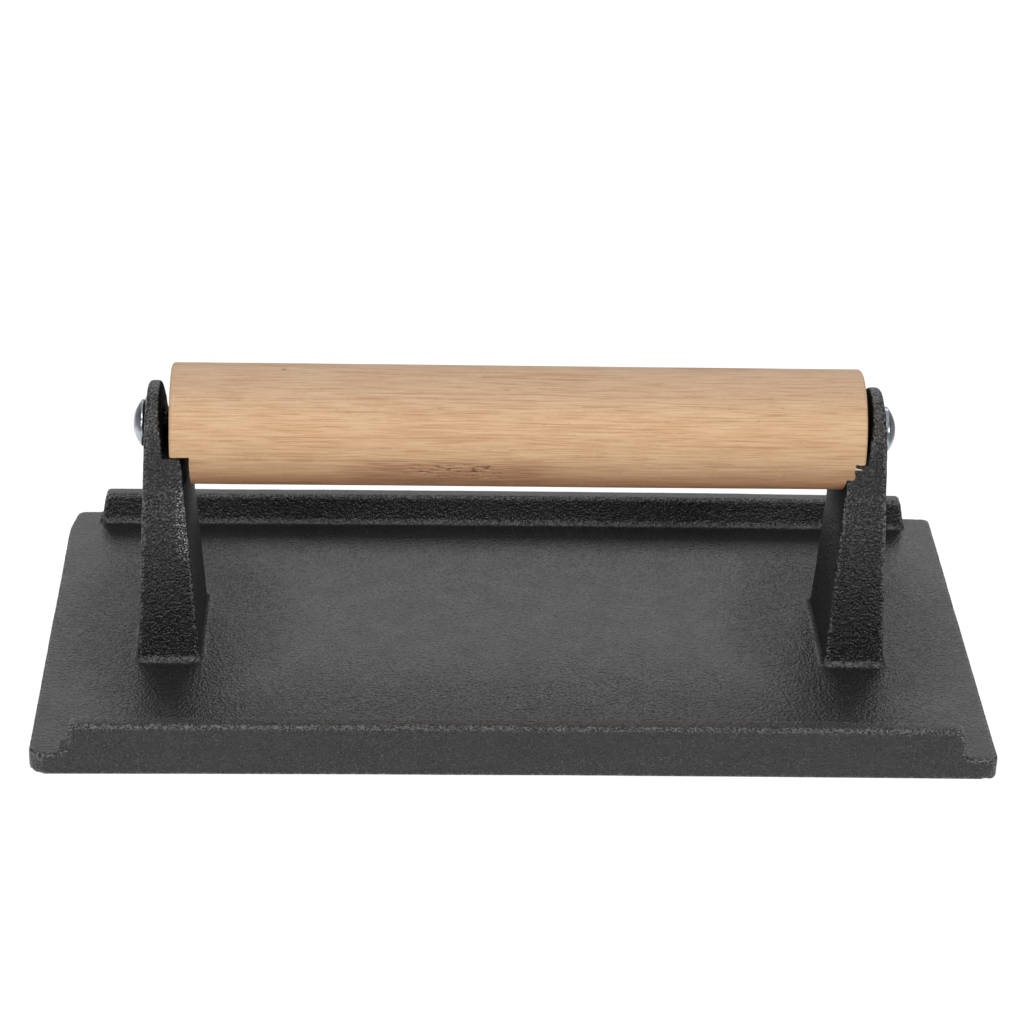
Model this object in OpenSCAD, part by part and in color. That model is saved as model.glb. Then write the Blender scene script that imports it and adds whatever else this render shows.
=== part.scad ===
// Cast-iron grill press: a flat ridged plate with two posts that carry a wooden bar handle.
// Millimetres. The origin is the middle of the plate's underside, +X runs along the handle and +Z is up.

/* [Plate] */
// length of the plate, along the handle
plate_l = 210; // [190:1:260]
// width of the plate, across the handle
plate_w = 108; // [80:1:160]
// thickness of the plate between the ridges
plate_t = 4.8; // [4:0.1:10]
// radius of the plate's four corners, seen from above
corner_r = 3; // [1:0.5:6]

/* [Ridges] */
// height of the two long ridges above the plate's top
ridge_h = 7; // [4:0.5:15]
// thickness of a ridge at its top
ridge_t = 4; // [3:0.1:8]
// distance from the plate's short edge to the foot of a ridge's end
ridge_inset = 7.1; // [5:0.1:20]
// lean of a ridge's two ends and of its inner face, in degrees
ridge_lean = 10; // [2:1:20]
// radius along a ridge's two top edges
ridge_edge_r = 1; // [0.3:0.1:1.2]
// radius where a ridge's top meets its ends
ridge_end_r = 1.6; // [0.5:0.1:3]

/* [Posts] */
// distance between the two posts' inner faces, at the plate's top
post_gap = 141.2; // [120:0.1:150]
// thickness of a post at the plate's top, along the handle
post_t = 13.5; // [12:0.1:18]
// lean of the ridges' outer faces and the posts' backs, in degrees, so that the casting leaves its mould
draft = 2.5; // [1:0.1:4]
// lean of a post's front face, in degrees
front_draft = 5; // [1:0.1:6]
// lean of a post's face towards the handle, in degrees
inner_draft = 3.4; // [1:0.1:4]
// lean of a post's outer face, in degrees
outer_draft = 2.6; // [1:0.1:4]
// height of the ledge above the plate's top
ledge_h = 49.9; // [40:0.1:70]
// how far the ledge stands out from the ear, towards the handle
ledge_out = 4; // [3:0.1:5]
// radius of the ledge's outer corner
ledge_r = 2.2; // [0.5:0.1:2.8]
// radius in the corner between ledge and ear, small enough to clear the handle's end
ear_fillet_r = 1.4; // [0.5:0.1:1.5]
// radius of the ear's round top
ear_r = 11; // [9:0.5:13]
// height of that round top's centre above the plate's top
ear_h = 50.5; // [40:0.5:70]
// radius in the corner between a wall and the plate's top
foot_r = 1.5; // [0.5:0.1:3]

/* [Handle] */
// diameter of the round handle
handle_d = 27; // [24:0.5:30]
// length of the handle
handle_l = 153; // [130:0.5:153]
// distance the handle sits off centre, towards +X, within its end play
handle_shift = 0.5; // [-0.5:0.1:0.5]
// height of the handle's axis above the ledges
handle_above_ledge = 2.7; // [2:0.1:4]
// length of the notch cut in the underside of each handle end
notch_l = 4.3; // [4:0.1:4.6]
// rounding of the handle's end edges
handle_edge_r = 0.7; // [0.2:0.1:2]

/* [Fasteners] */
// nominal diameter of the two screws
screw_d = 5; // [4:0.5:6]
// length of a screw under its head
screw_l = 20; // [14:1:25]
// diameter of the screw's low domed head
head_d = 10.4; // [9:0.1:12]
// full height of the screw's head
head_h = 2.45; // [2.2:0.05:3]
// diameter of the hole through the ear, small enough to clear the ledge
ear_hole_d = 5.3; // [5.1:0.1:5.3]
// height of the cast boss that the screw head seats on, at the handle's axis
boss_h = 0.5; // [0.3:0.1:2]
// diameter of the cast boss
boss_d = 10.8; // [9.5:0.1:12]
// outer diameter of the threaded insert
insert_d = 8; // [7.5:0.1:10]
// length of the threaded insert
insert_l = 13; // [8:0.5:16]

/* [Hidden] */
$fn = 96;

// depth that a raised shape is sunk into its neighbour, so that the two always join
sink = 1;
// a cut runs this far past the solid that it cuts
over = 1;
// a fillet starts this far below its corner, so that it crosses the flat face instead of grazing it
graze = 0.05;

lean = tan(draft);
inner_lean = tan(inner_draft);
outer_lean = tan(outer_draft);
ledge_z = plate_t + ledge_h;
axis_z = ledge_z + handle_above_ledge;
// gap between a ledge and the roof of the notch above it
seat_gap = 0.7;

// inner and outer faces of a post at height z above the plate's top
function inner_x(z) = post_gap / 2 + z * inner_lean;
function outer_x(z) = post_gap / 2 + post_t - z * outer_lean;

ear_top = ear_h + ear_r;
boss_face_x = outer_x(handle_above_ledge + ledge_h) + boss_h;
// a post's face that leans by angle and is tangent to the ear: its distance from the handle's axis at the
// plate's top, and the point where it touches the ear
function face_foot(angle) = ear_r / cos(angle) + ear_h * tan(angle);
function face_top(angle) = [ear_r * cos(angle), ear_r * sin(angle) + ear_h];

head_rim = 0.45;
dome_h = head_h - head_rim;
dome_r = (pow(head_d / 2, 2) + pow(dome_h, 2)) / (2 * dome_h);
recess_w = 1.1;
recess_d = 5;
recess_depth = 1.7;
thread_gap = 0.05;
insert_groove = 0.5;
insert_pitch = 2.6;
// the insert starts behind the notch's wall, clear of the ledge
insert_recess = notch_l + 0.4;
insert_bore_extra = 1;

iron = [0.20, 0.20, 0.21];
beech = [0.83, 0.68, 0.52];
zinc = [0.78, 0.79, 0.82];
brass = [0.78, 0.62, 0.34];

// ---------- outlines with exact round corners ----------

function direction(a, b) = (b - a) / norm(b - a);
function turn(a, b, c) = cross(direction(a, b), direction(b, c));
// angle of the corner at b, and the length of each side that a radius r takes up there
function corner_angle(a, b, c) = acos(direction(b, a) * direction(b, c));
function reach(a, b, c, r) = r / tan(corner_angle(a, b, c) / 2);
function arc_centre(a, b, c, r) =
    b + direction([0, 0], direction(b, a) + direction(b, c)) * r / sin(corner_angle(a, b, c) / 2);

function wrap(i, n) = (i + n) % n;

// closed outline through points [x, y, radius], counter-clockwise; radius 0 keeps a sharp corner
module rounded_outline(points) {
    n = len(points);
    p = [for (q = points) [q[0], q[1]]];
    r = [for (q = points) q[2]];
    cut = [for (i = [0 : n - 1])
        let (a = p[wrap(i - 1, n)], b = p[i], c = p[wrap(i + 1, n)])
        each (r[i] == 0 ? [b] : [
            b + direction(b, a) * reach(a, b, c, r[i]),
            b + direction(b, c) * reach(a, b, c, r[i])
        ])];
    difference() {
        union() {
            polygon(cut);
            corner_discs(p, r, 1);
        }
        corner_discs(p, r, -1);
    }
}

// the discs that round the outward (side = 1) or the inward (side = -1) corners
module corner_discs(p, r, side) {
    n = len(p);
    for (i = [0 : n - 1]) {
        a = p[wrap(i - 1, n)];
        b = p[i];
        c = p[wrap(i + 1, n)];
        if (r[i] > 0 && turn(a, b, c) * side > 0) {
            translate(arc_centre(a, b, c, r[i])) circle(r[i]);
        }
    }
}

// stands an outline drawn in X and Z upright and extrudes it by depth, centred on Y = 0
module along_y(depth) {
    rotate([90, 0, 0]) linear_extrude(depth, center = true) children();
}

// stands an outline drawn in Y and Z upright and extrudes it from x0 to x1
module along_x(x0, x1) {
    translate([x0, 0, 0]) rotate([90, 0, 90]) linear_extrude(x1 - x0) children();
}

module both_ends() {
    children();
    mirror([1, 0, 0]) children();
}

// ---------- casting ----------

module plate() {
    linear_extrude(plate_t) rounded_outline([
        [-plate_l / 2, -plate_w / 2, corner_r],
        [plate_l / 2, -plate_w / 2, corner_r],
        [plate_l / 2, plate_w / 2, corner_r],
        [-plate_l / 2, plate_w / 2, corner_r]
    ]);
}

// section of the ridge on the +Y edge: it rises from the plate's edge outside and is filleted inside
module ridge_section() {
    edge_y = plate_w / 2;
    outer_y = edge_y - ridge_h * lean;
    inner_y = outer_y - ridge_t;
    inner_foot_y = inner_y - ridge_h * tan(ridge_lean);
    top = plate_t + ridge_h;
    foot = plate_t - graze;
    rounded_outline([
        [inner_foot_y - foot_r - over, plate_t - sink, 0],
        [edge_y, plate_t - sink, 0],
        [edge_y, plate_t, 0],
        [outer_y, top, ridge_edge_r],
        [inner_y, top, ridge_edge_r],
        [inner_foot_y, foot, foot_r],
        [inner_foot_y - foot_r - over, foot, 0]
    ]);
}

// length and end shape of a ridge, seen from the front
module ridge_front() {
    foot_x = plate_l / 2 - ridge_inset;
    top_x = foot_x - ridge_h * tan(ridge_lean);
    top = plate_t + ridge_h;
    rounded_outline([
        [-foot_x, plate_t - sink, 0],
        [foot_x, plate_t - sink, 0],
        [foot_x, plate_t, 0],
        [top_x, top, ridge_end_r],
        [-top_x, top, ridge_end_r],
        [-foot_x, plate_t, 0]
    ]);
}

module ridge() {
    intersection() {
        along_x(-plate_l / 2, plate_l / 2) ridge_section();
        along_y(plate_w) ridge_front();
    }
}

// post and ear seen from the front, on the +X side
module post_front() {
    foot = -graze;
    side = foot_r + over;
    translate([0, plate_t]) rounded_outline([
        [inner_x(0) - side, -sink, 0],
        [outer_x(0) + side, -sink, 0],
        [outer_x(0) + side, foot, 0],
        [outer_x(foot), foot, foot_r],
        [outer_x(ear_top + over), ear_top + over, 0],
        [inner_x(ear_top + over) + ledge_out, ear_top + over, 0],
        [inner_x(ledge_h) + ledge_out, ledge_h, ear_fillet_r],
        [inner_x(ledge_h), ledge_h, ledge_r],
        [inner_x(foot), foot, foot_r],
        [inner_x(0) - side, foot, 0]
    ]);
}

// post and ear seen from the end
module post_end() {
    foot = -graze;
    side = foot_r + over;
    front = face_foot(front_draft);
    back = face_foot(draft);
    front_top = face_top(front_draft);
    back_top = face_top(draft);
    translate([0, plate_t]) {
        rounded_outline([
            [-front - side, -sink, 0],
            [back + side, -sink, 0],
            [back + side, foot, 0],
            [back, foot, foot_r],
            [back_top[0], back_top[1], 0],
            [-front_top[0], front_top[1], 0],
            [-front, foot, foot_r],
            [-front - side, foot, 0]
        ]);
        translate([0, ear_h]) circle(ear_r);
    }
}

module post() {
    difference() {
        union() {
            intersection() {
                along_y(2 * plate_w) post_front();
                along_x(0, plate_l / 2) post_end();
            }
            translate([boss_face_x - boss_h - sink, 0, axis_z])
                rotate([0, 90, 0]) cylinder(d = boss_d, h = boss_h + sink);
        }
        translate([inner_x(ledge_h) + ledge_out - ear_fillet_r - over, 0, axis_z])
            rotate([0, 90, 0]) cylinder(d = ear_hole_d, h = post_t);
    }
}

module press_casting() {
    color(iron) {
        plate();
        ridge();
        mirror([0, 1, 0]) ridge();
        both_ends() post();
    }
}

// ---------- handle ----------

module handle_bar() {
    translate([handle_shift - handle_l / 2, 0, axis_z])
        rotate([0, 90, 0]) rotate_extrude() rounded_outline([
            [0, 0, 0],
            [handle_d / 2, 0, handle_edge_r],
            [handle_d / 2, handle_l, handle_edge_r],
            [0, handle_l, 0]
        ]);
}

// room for the ledge under one end of the handle, on the +X side
module notch(end_x) {
    translate([end_x - notch_l, -handle_d, axis_z - handle_d])
        cube([notch_l + over, 2 * handle_d, handle_d - handle_above_ledge + seat_gap]);
}

// blind bore for the insert and the tip of the screw
module insert_bore(end_x) {
    depth = insert_recess + insert_l + insert_bore_extra;
    translate([end_x - depth, 0, axis_z])
        rotate([0, 90, 0]) cylinder(d = insert_d, h = depth + over);
}

module handle() {
    color(beech) difference() {
        handle_bar();
        notch(handle_l / 2 + handle_shift);
        insert_bore(handle_l / 2 + handle_shift);
        mirror([1, 0, 0]) {
            notch(handle_l / 2 - handle_shift);
            insert_bore(handle_l / 2 - handle_shift);
        }
    }
}

// ---------- fasteners, drawn on the +X side ----------

// cross recess whose four wings slope in towards its floor
module cross_recess() {
    translate([0, 0, head_h - recess_depth]) intersection() {
        cylinder(d1 = recess_w, d2 = recess_d, h = recess_depth + over);
        for (angle = [0, 90]) {
            rotate([0, 0, angle])
                translate([-recess_d, -recess_w / 2, 0]) cube([2 * recess_d, recess_w, recess_depth + over]);
        }
    }
}

// screw standing on its shank: the head's underside is at z = 0
module upright_screw() {
    difference() {
        union() {
            intersection() {
                cylinder(d = head_d, h = head_h);
                translate([0, 0, head_h - dome_r]) sphere(dome_r);
            }
            translate([0, 0, -screw_l]) cylinder(d = screw_d, h = screw_l + head_rim);
        }
        cross_recess();
    }
}

module screw() {
    color(zinc) translate([boss_face_x, 0, axis_z]) rotate([0, 90, 0]) upright_screw();
}

// insert with ring grooves in place of its coarse outer thread
module upright_insert() {
    groove_count = floor(insert_l / insert_pitch);
    difference() {
        cylinder(d = insert_d, h = insert_l);
        translate([0, 0, -over]) cylinder(d = screw_d + 2 * thread_gap, h = insert_l + 2 * over);
        for (i = [1 : groove_count - 1]) {
            translate([0, 0, i * insert_pitch]) difference() {
                cylinder(d = insert_d + over, h = insert_pitch / 2);
                translate([0, 0, -over]) cylinder(d = insert_d - 2 * insert_groove, h = insert_pitch + over);
            }
        }
    }
}

module insert_at(end_x) {
    color(brass) translate([end_x - insert_recess - insert_l, 0, axis_z])
        rotate([0, 90, 0]) upright_insert();
}

module right_screw() {
    screw();
}

module left_screw() {
    mirror([1, 0, 0]) screw();
}

module right_insert() {
    insert_at(handle_l / 2 + handle_shift);
}

module left_insert() {
    mirror([1, 0, 0]) insert_at(handle_l / 2 - handle_shift);
}

press_casting();
handle();
left_screw();
right_screw();
left_insert();
right_insert();
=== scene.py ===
"""Looks of the cast-iron grill press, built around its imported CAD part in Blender 4.5.

Lengths here are in millimetres and are turned into the frame's metres by MM. The frame's origin is the
middle of the plate's underside, +X runs along the handle, +Y goes to the back and +Z is up.
"""

import math
import random

import bmesh
import bpy
import numpy as np
from mathutils import Matrix, Vector, noise


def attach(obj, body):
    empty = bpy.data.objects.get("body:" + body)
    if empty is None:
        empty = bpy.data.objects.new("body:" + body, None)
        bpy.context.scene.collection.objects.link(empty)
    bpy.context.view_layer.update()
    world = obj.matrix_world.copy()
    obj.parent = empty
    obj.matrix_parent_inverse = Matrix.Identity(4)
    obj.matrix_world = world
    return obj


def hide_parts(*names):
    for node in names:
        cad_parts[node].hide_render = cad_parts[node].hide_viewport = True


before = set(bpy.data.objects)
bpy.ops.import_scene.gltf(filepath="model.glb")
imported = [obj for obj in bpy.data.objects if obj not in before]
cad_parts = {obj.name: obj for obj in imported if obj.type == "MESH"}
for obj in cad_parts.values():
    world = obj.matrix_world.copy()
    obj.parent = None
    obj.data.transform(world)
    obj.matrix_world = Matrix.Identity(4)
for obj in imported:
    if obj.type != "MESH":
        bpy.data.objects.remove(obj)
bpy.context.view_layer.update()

MM = 0.001
RANDOM_SEED = 7
# without this, noise_vector differs from run to run
noise.seed_set(RANDOM_SEED)

# ---------- sizes read from the frame ----------


def node_points(name):
    """A CAD node's vertices in millimetres, one row each."""
    return np.array([v.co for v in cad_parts[name].data.vertices]) / MM


def extent(points, axis, keep):
    """Lowest and highest coordinate on one axis among the kept points."""
    chosen = points[keep, axis]
    return float(chosen.min()), float(chosen.max())


X, Y, Z = 0, 1, 2
# a CAD vertex this near to a face counts as lying on it
TOUCH = 0.02

casting_points = node_points("press_casting")
half_length = float(casting_points[:, X].max())
half_width = float(casting_points[:, Y].max())
ear_top = float(casting_points[:, Z].max())
plate_top = extent(casting_points, Z, casting_points[:, X] > half_length - TOUCH)[1]

handle_points = node_points("handle")
handle_left, handle_right = extent(handle_points, X, slice(None))
handle_bottom, handle_top = extent(handle_points, Z, slice(None))
handle_radius = (handle_top - handle_bottom) / 2
axis_z = (handle_top + handle_bottom) / 2
notch_left, notch_right = extent(handle_points, X, handle_points[:, Z] < handle_bottom + TOUCH)
notch_roof = extent(handle_points, Z, handle_points[:, X] > handle_right - TOUCH)[0]

left_insert_end = float(node_points("left_insert")[:, X].max())
right_insert_end = float(node_points("right_insert")[:, X].min())
insert_radius = float(node_points("right_insert")[:, Y].max())

screw_points = node_points("right_screw")
screw_tip, screw_apex = extent(screw_points, X, slice(None))
head_radius = float(screw_points[:, Y].max())
head_seat = extent(screw_points, X, screw_points[:, Y] > head_radius - TOUCH)[0]
shank_radius = float(screw_points[screw_points[:, X] < head_seat - 1, Y].max())

# ---------- node helpers ----------


def new_material(name):
    """An empty node material and its tree."""
    material = bpy.data.materials.new(name)
    material.use_nodes = True
    material.node_tree.nodes.clear()
    return material, material.node_tree


def add(tree, kind, inputs=None, **settings):
    """Adds a node. An input is a plain value, or another node's output to link from."""
    node = tree.nodes.new(kind)
    for key, value in settings.items():
        setattr(node, key, value)
    for key, value in (inputs or {}).items():
        if isinstance(value, bpy.types.NodeSocket):
            tree.links.new(value, node.inputs[key])
        else:
            node.inputs[key].default_value = value
    return node


def calc(tree, operation, a, b=0.0):
    """One arithmetic step."""
    return add(tree, "ShaderNodeMath", {0: a, 1: b}, operation=operation).outputs[0]


def remap(tree, value, low, high, new_low=0.0, new_high=1.0):
    """Smoothly maps low..high to new_low..new_high, flat outside."""
    inputs = {"Value": value, "From Min": low, "From Max": high, "To Min": new_low, "To Max": new_high}
    return add(tree, "ShaderNodeMapRange", inputs, interpolation_type="SMOOTHSTEP").outputs["Result"]


def blend(tree, factor, a, b):
    """Mixes two colours."""
    # of the node's sockets, inputs 6 and 7 and output 2 are the ones for colours
    inputs = {"Factor": factor, 6: a, 7: b}
    return add(tree, "ShaderNodeMix", inputs, data_type="RGBA", blend_type="MIX").outputs[2]


def grey(level):
    """A neutral colour."""
    return (level, level, level, 1.0)


def stretch(tree, vector, along_x, along_y, along_z):
    """Scales a place before it goes into a texture; a small factor draws the pattern out."""
    factors = (along_x, along_y, along_z)
    return add(tree, "ShaderNodeVectorMath", {0: vector, 1: factors}, operation="MULTIPLY").outputs[0]


def position_mm(tree):
    """The point being shaded, in millimetres of the frame."""
    place = add(tree, "ShaderNodeTexCoord").outputs["Object"]
    return stretch(tree, place, 1 / MM, 1 / MM, 1 / MM)


def cloud(tree, vector, scale, detail, roughness=0.5):
    """Noise from 0 to 1 with scale lumps per millimetre."""
    inputs = {"Vector": vector, "Scale": scale, "Detail": detail, "Roughness": roughness}
    return add(tree, "ShaderNodeTexNoise", inputs).outputs["Fac"]


def attribute(tree, name):
    """A number stored on the mesh's points."""
    return add(tree, "ShaderNodeAttribute", attribute_name=name).outputs["Fac"]


def bump(tree, height, depth, strength, normal=None):
    """Bump whose full height is depth millimetres."""
    inputs = {"Height": height, "Distance": depth * MM, "Strength": strength}
    if normal is not None:
        inputs["Normal"] = normal
    return add(tree, "ShaderNodeBump", inputs).outputs["Normal"]


def surface(tree, inputs):
    """Ends the tree with a surface that has these inputs."""
    shader = add(tree, "ShaderNodeBsdfPrincipled", inputs)
    add(tree, "ShaderNodeOutputMaterial", {"Surface": shader.outputs[0]})


# ---------- materials ----------


# the casting's black coat: where thick, where thin, painted lighter on faces that lie flat as light from
# above, and painted shade
COAT_THICK = (0.0030, 0.0030, 0.0032, 1)
COAT_THIN = (0.0065, 0.0065, 0.0069, 1)
COAT_PAINTED_TOP_LIGHT = (0.0095, 0.0095, 0.0098, 1)
COAT_PAINTED_SHADE = (0.003, 0.003, 0.003, 1)
# painted light on the coat: highlights on grain tops, dim low down and bright near the handle; glints;
# worn and highlit edges; sparkle; fillet highlight
GRAIN_HIGHLIGHT_LOW = grey(0.020)
GRAIN_HIGHLIGHT_HIGH = grey(0.105)
PAINTED_GLINT = grey(0.12)
WORN_EDGE_AND_HIGHLIGHT = (0.165, 0.162, 0.160, 1)
PAINTED_SPARKLE = (0.42, 0.415, 0.41, 1)
FILLET_HIGHLIGHT = (0.15, 0.148, 0.145, 1)


def iron_material():
    """Black-coated cast iron: leathery sand-cast grain, smoother on the plate, paler on worn edges, with
    painted highlights, glints and shade.
    """
    material, tree = new_material("cast_iron")
    place = position_mm(tree)
    grain = attribute(tree, "grain")
    edge = attribute(tree, "edge")
    painted_shade = attribute(tree, "painted_shade")
    facing = add(tree, "ShaderNodeSeparateXYZ", {0: add(tree, "ShaderNodeNewGeometry").outputs["Normal"]})
    lying = remap(tree, facing.outputs["Z"], 0.6, 0.95)
    height = add(tree, "ShaderNodeSeparateXYZ", {0: place}).outputs["Z"]

    lumps = cloud(tree, place, 0.16, 3)
    pebbles = cloud(tree, place, 1.4, 1)
    fine_grain = cloud(tree, place, 1.9, 1.5, 0.6)
    specks = cloud(tree, place, 3.0, 0.5)

    uneven = remap(tree, lumps, 0.35, 0.65)
    coat = blend(tree, uneven, COAT_THICK, COAT_THIN)
    # faces that lie flat are painted lighter: painted light from above
    coat = blend(tree, lying, coat, COAT_PAINTED_TOP_LIGHT)
    # painted highlights on the skin's high spots, brighter higher up towards the handle
    rough_skin = remap(tree, grain, 0.70, 1.0, 0.35, 1.0)
    grain_highlights = calc(tree, "MULTIPLY", remap(tree, fine_grain, 0.50, 0.66), rough_skin)
    brighter_higher_up = remap(tree, height, plate_top + 12, notch_roof)
    painted_highlight_grey = blend(tree, brighter_higher_up, GRAIN_HIGHLIGHT_LOW, GRAIN_HIGHLIGHT_HIGH)
    colour = blend(tree, grain_highlights, coat, painted_highlight_grey)
    # painted glints on the specks
    colour = blend(tree, remap(tree, specks, 0.64, 0.74, 0, 0.35), colour, PAINTED_GLINT)
    # ridges of the skin along the edges are pale: partly worn coat, partly painted highlight
    worn_and_highlight = calc(tree, "MULTIPLY", remap(tree, edge, 0.03, 0.13), remap(tree, fine_grain, 0.46, 0.62))
    colour = blend(tree, calc(tree, "MULTIPLY", worn_and_highlight, 0.7), colour, WORN_EDGE_AND_HIGHLIGHT)
    # painted glints: bright specks on the left post's front
    painted_sparkle = calc(tree, "MULTIPLY", attribute(tree, "painted_sparkle"), remap(tree, specks, 0.58, 0.67))
    colour = blend(tree, painted_sparkle, colour, PAINTED_SPARKLE)
    # painted highlight along the concave fillets
    fillet_highlight = calc(tree, "MULTIPLY", remap(tree, edge, -0.03, -0.12), remap(tree, fine_grain, 0.42, 0.62))
    colour = blend(tree, calc(tree, "MULTIPLY", fillet_highlight, 0.65), colour, FILLET_HIGHLIGHT)
    # painted shade where the iron faces the handle and lies under it
    colour = blend(tree, painted_shade, colour, COAT_PAINTED_SHADE)

    strength = remap(tree, grain, 0, 1, 0.18, 1.0)
    coarse_strength = calc(tree, "MULTIPLY", strength, remap(tree, lying, 0, 1, 0.80, 1.0))
    medium_strength = calc(tree, "MULTIPLY", strength, remap(tree, lying, 0, 1, 1.0, 0.50))
    coarse = bump(tree, pebbles, 0.32, coarse_strength)
    medium = bump(tree, fine_grain, 0.42, medium_strength, coarse)
    fine = bump(tree, specks, 0.07, strength, medium)
    roughness = remap(tree, lumps, 0.3, 0.7, 0.22, 0.28)
    roughness = calc(tree, "ADD", roughness, calc(tree, "MULTIPLY", lying, 0.06))
    roughness = calc(tree, "ADD", roughness, calc(tree, "MULTIPLY", painted_shade, 0.45))
    surface(tree, {
        "Base Color": colour,
        "Roughness": roughness,
        "Specular IOR Level": remap(tree, painted_shade, 0, 1, 0.58, 0.08),
        "Normal": fine,
    })
    return material


# the heart of the tree lies this far from the handle's axis, to the front and down
PITH_OFFSET = (-33.0, -62.0)
BEECH_DEEP = (0.660, 0.410, 0.225, 1)
BEECH_PALE = (0.715, 0.480, 0.280, 1)
BEECH_REDDER_AND_SHADED_LOW_SIDE = (0.60, 0.272, 0.138, 1)
BEECH_PAINTED_TOP_SHEEN = (0.54, 0.410, 0.310, 1)
BEECH_LINE = (0.44, 0.230, 0.115, 1)
BEECH_BAND = (0.50, 0.245, 0.135, 1)
BEECH_THIN_LINE = (0.42, 0.190, 0.090, 1)
BEECH_FIBRE = (0.43, 0.220, 0.112, 1)
BEECH_FLECK = (0.80, 0.600, 0.390, 1)
BEECH_DASH = (0.28, 0.145, 0.075, 1)
BEECH_BRUISED = (0.42, 0.205, 0.115, 1)
BEECH_GOUGE_SHADE = (0.09, 0.040, 0.025, 1)
BEECH_FRESH = (0.80, 0.64, 0.46, 1)


def ring_position(tree, place, split):
    """Place in the growth rings, which wander a little: slow along the bar, quick across the rings."""
    wander = cloud(tree, stretch(tree, place, 0.016, 0.12, 0.12), 1.0, 2)
    shift = calc(tree, "MULTIPLY", calc(tree, "SUBTRACT", wander, 0.5), 1.6)
    from_pith_y = calc(tree, "SUBTRACT", split.outputs["Y"], PITH_OFFSET[0])
    from_pith_z = calc(tree, "SUBTRACT", split.outputs["Z"], axis_z + PITH_OFFSET[1])
    flat = add(tree, "ShaderNodeCombineXYZ", {"Y": from_pith_y, "Z": from_pith_z}).outputs[0]
    ring_radius = add(tree, "ShaderNodeVectorMath", {0: flat}, operation="LENGTH").outputs["Value"]
    ring = calc(tree, "ADD", ring_radius, shift)
    along_bar = calc(tree, "MULTIPLY", split.outputs["X"], 0.011)
    return add(tree, "ShaderNodeCombineXYZ", {"X": along_bar, "Y": ring}).outputs[0]


def beech_material(name, fresh):
    """Bare beech with its grain along X. Fresh wood is paler: torn fibres and sawn faces."""
    material, tree = new_material(name)
    place = position_mm(tree)
    split = add(tree, "ShaderNodeSeparateXYZ", {0: place})

    ring_place = ring_position(tree, place, split)
    lines = cloud(tree, ring_place, 2.8, 1, 0.6)
    thin_lines = calc(tree, "ABSOLUTE", calc(tree, "SUBTRACT", cloud(tree, ring_place, 0.90, 1), 0.5))
    breaks = cloud(tree, stretch(tree, place, 0.09, 0.9, 0.9), 1.0, 1)
    bands = cloud(tree, ring_place, 0.36, 2)
    fibres = cloud(tree, stretch(tree, place, 0.12, 3.8, 3.8), 1.0, 0.5)
    dashes = cloud(tree, stretch(tree, place, 0.50, 4.2, 4.2), 1.0, 1)
    flecks = cloud(tree, stretch(tree, place, 0.80, 2.8, 2.8), 1.0, 1)
    patches = cloud(tree, stretch(tree, place, 0.10, 0.6, 0.6), 1.0, 3)

    colour = blend(tree, remap(tree, patches, 0.3, 0.7), BEECH_DEEP, BEECH_PALE)
    redder_and_shaded_low_side = remap(tree, split.outputs["Z"], axis_z - 2, axis_z - 11)
    painted_top_sheen = remap(tree, split.outputs["Z"], axis_z + 7, axis_z + 13)
    # the lower side is darker and redder: redder wood, and painted shade
    colour = blend(tree, calc(tree, "MULTIPLY", redder_and_shaded_low_side, 0.74), colour, BEECH_REDDER_AND_SHADED_LOW_SIDE)
    # the top of the bar is painted greyer: painted sheen and shade
    colour = blend(tree, calc(tree, "MULTIPLY", painted_top_sheen, 0.42), colour, BEECH_PAINTED_TOP_SHEEN)
    line_depth = calc(tree, "ADD", calc(tree, "MULTIPLY", redder_and_shaded_low_side, 0.32), 0.22)
    line = calc(tree, "MULTIPLY", remap(tree, lines, 0.50, 0.36), line_depth)
    colour = blend(tree, line, colour, BEECH_LINE)
    band = calc(tree, "MULTIPLY", remap(tree, bands, 0.54, 0.70), calc(tree, "ADD", line_depth, -0.10))
    colour = blend(tree, band, colour, BEECH_BAND)
    thin_depth = remap(tree, breaks, 0.42, 0.58, 0.08, 0.48)
    thin_line = calc(tree, "MULTIPLY", remap(tree, thin_lines, 0.036, 0.0), thin_depth)
    colour = blend(tree, thin_line, colour, BEECH_THIN_LINE)
    colour = blend(tree, remap(tree, fibres, 0.38, 0.48, 0.36, 0), colour, BEECH_FIBRE)
    colour = blend(tree, remap(tree, flecks, 0.58, 0.74, 0, 0.20), colour, BEECH_FLECK)
    colour = blend(tree, remap(tree, dashes, 0.70, 0.80, 0, 0.55), colour, BEECH_DASH)

    torn = attribute(tree, "torn")
    bruised = attribute(tree, "bruised")
    shade = calc(tree, "MULTIPLY", bruised, remap(tree, fibres, 0.60, 0.36, 0.35, 0.95))
    colour = blend(tree, shade, colour, BEECH_BRUISED)
    # the tear's gouges and the pit are painted near black: painted shade in the hollows
    colour = blend(tree, calc(tree, "MULTIPLY", torn, 0.9), colour, BEECH_GOUGE_SHADE)
    if fresh:
        colour = blend(tree, 0.45, colour, BEECH_FRESH)

    height = calc(tree, "SUBTRACT", fibres, calc(tree, "MULTIPLY", remap(tree, dashes, 0.70, 0.80), 0.6))
    surface(tree, {
        "Base Color": colour,
        "Roughness": remap(tree, fibres, 0.3, 0.7, 0.62, 0.50),
        "Specular IOR Level": 0.35,
        "Normal": bump(tree, height, 0.10, 0.8),
    })
    return material


ZINC_BRIGHT = (0.50, 0.53, 0.57, 1)
ZINC_DULL = (0.36, 0.39, 0.43, 1)
ZINC_JOINT_SHADE = grey(0.035)
BRASS_BRIGHT = (0.76, 0.55, 0.24, 1)
BRASS_DULL = (0.52, 0.36, 0.15, 1)


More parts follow.
